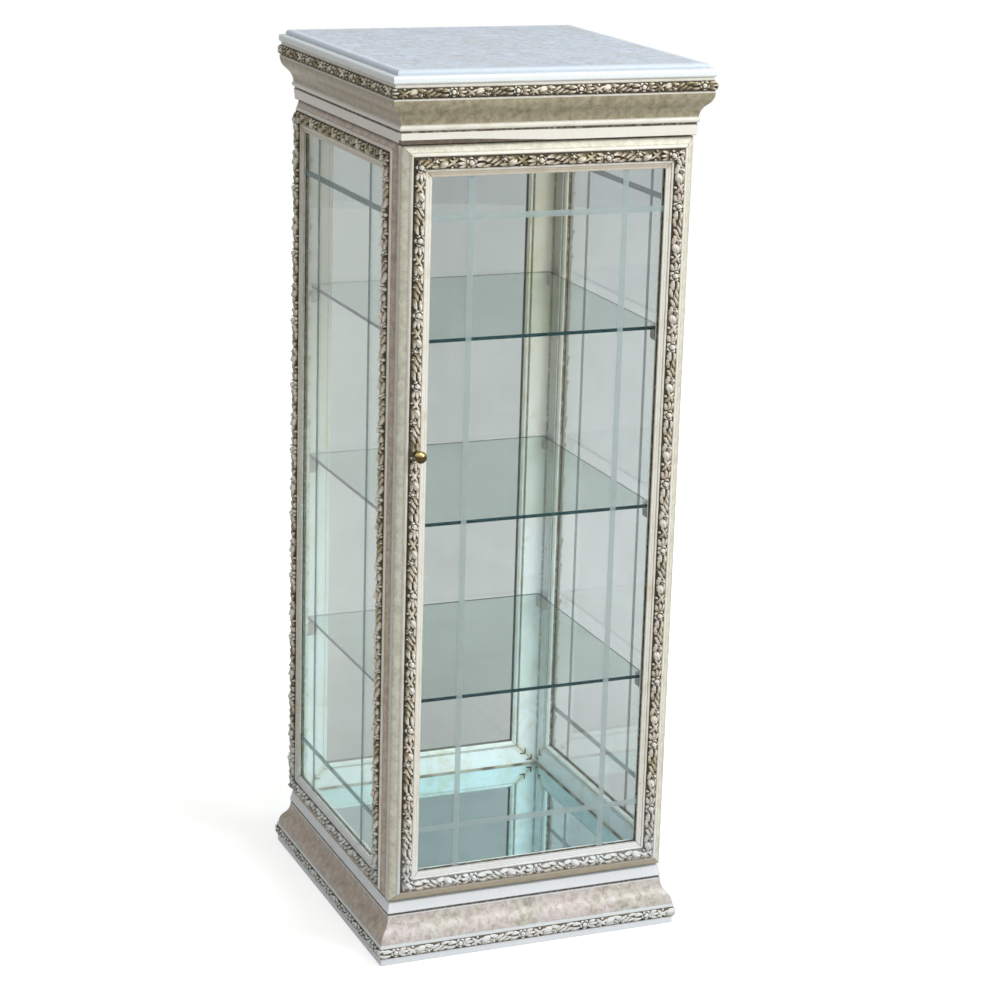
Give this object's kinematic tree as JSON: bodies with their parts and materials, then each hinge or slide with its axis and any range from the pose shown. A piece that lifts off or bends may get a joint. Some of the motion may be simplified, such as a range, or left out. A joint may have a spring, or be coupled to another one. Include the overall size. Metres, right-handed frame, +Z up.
{
  "type": "display cabinet",
  "caption": "Tall free-standing display cabinet with a glazed hinged door, glazed sides and back, loose glass shelves over a mirror floor, and carved moulded frames, base and cornice",
  "frame": {"origin": "on the floor under the middle of the base", "axes": "+X to the cabinet's right seen from the front, -Y is the front with the door, +Z up"},
  "size_m": [0.4748, 0.5107, 1.271],
  "materials": {
    "marbled_paint": "faux-marble cream and taupe paint with ivory bands on wood",
    "marbled_top": "pale grey marbled paint on wood",
    "carved_ornament": "carved foliage, cream and gold with dark patina in the hollows",
    "bare_wood": "plain softwood",
    "pane_glass": "clear plate glass with frosted line borders",
    "shelf_glass": "clear plate glass with green edges",
    "mirror": "silvered mirror",
    "polished_brass": "polished",
    "aged_brass": "satin, aged",
    "steel": "bright",
    "white_plastic": "matte",
    "taupe_plastic": "matte"
  },
  "bodies": {
    "cabinet": {"plinth_board": "marbled_paint", "base_moulding_front": "marbled_paint", "base_moulding_back": "marbled_paint", "base_moulding_left": "marbled_paint", "base_moulding_right": "marbled_paint", "base_ornament": "carved_ornament", "floor_board": "marbled_paint", "ceiling_board": "marbled_paint", "cornice_moulding_front": "marbled_paint", "cornice_moulding_back": "marbled_paint", "cornice_moulding_left": "marbled_paint", "cornice_moulding_right": "marbled_paint", "cornice_ornament": "carved_ornament", "cornice_slab": "marbled_paint", "top_board": "marbled_top", "corner_blocks": "bare_wood", "floor_mirror": "mirror", "left_front_stile": "marbled_paint", "left_back_stile": "marbled_paint", "left_top_rail": "marbled_paint", "left_bottom_rail": "marbled_paint", "left_ornament": "carved_ornament", "left_glazing_slips": "marbled_paint", "left_pane": "pane_glass", "right_front_stile": "marbled_paint", "right_back_stile": "marbled_paint", "right_top_rail": "marbled_paint", "right_bottom_rail": "marbled_paint", "right_ornament": "carved_ornament", "right_glazing_slips": "marbled_paint", "right_pane": "pane_glass", "back_left_stile": "marbled_paint", "back_right_stile": "marbled_paint", "back_top_rail": "marbled_paint", "back_bottom_rail": "marbled_paint", "back_ornament": "carved_ornament", "back_glazing_slips": "marbled_paint", "back_pane": "pane_glass", "hinge_frame_leaves": "aged_brass", "hinge_pins": "aged_brass", "catch_housing": "white_plastic", "catch_magnet": "steel", "frame_screws": "steel", "shelf_supports": "taupe_plastic"},
    "door": {"door_knob_stile": "marbled_paint", "door_hinge_stile": "marbled_paint", "door_top_rail": "marbled_paint", "door_bottom_rail": "marbled_paint", "door_ornament": "carved_ornament", "door_glazing_slips": "marbled_paint", "door_pane": "pane_glass", "hinge_door_leaves": "aged_brass", "knob": "polished_brass", "knob_screw": "steel", "strike_plate": "steel", "door_screws": "steel"},
    "upper_shelf": {"upper_shelf": "shelf_glass"},
    "middle_shelf": {"middle_shelf": "shelf_glass"},
    "lower_shelf": {"lower_shelf": "shelf_glass"}
  },
  "joints": [
    {"name": "door_hinge", "type": "hinge", "parent": "cabinet", "child": "door", "pos_m": [0.2132, -0.2075, 0.6285], "axis": [0, 0, 1], "range_deg": [0, 110]},
    {"name": "upper_shelf_lift", "type": "slide", "parent": "cabinet", "child": "upper_shelf", "axis": [0, 0, 1], "range_m": [0, 0.02]},
    {"name": "middle_shelf_lift", "type": "slide", "parent": "cabinet", "child": "middle_shelf", "axis": [0, 0, 1], "range_m": [0, 0.02]},
    {"name": "lower_shelf_lift", "type": "slide", "parent": "cabinet", "child": "lower_shelf", "axis": [0, 0, 1], "range_m": [0, 0.02]}
  ]
}
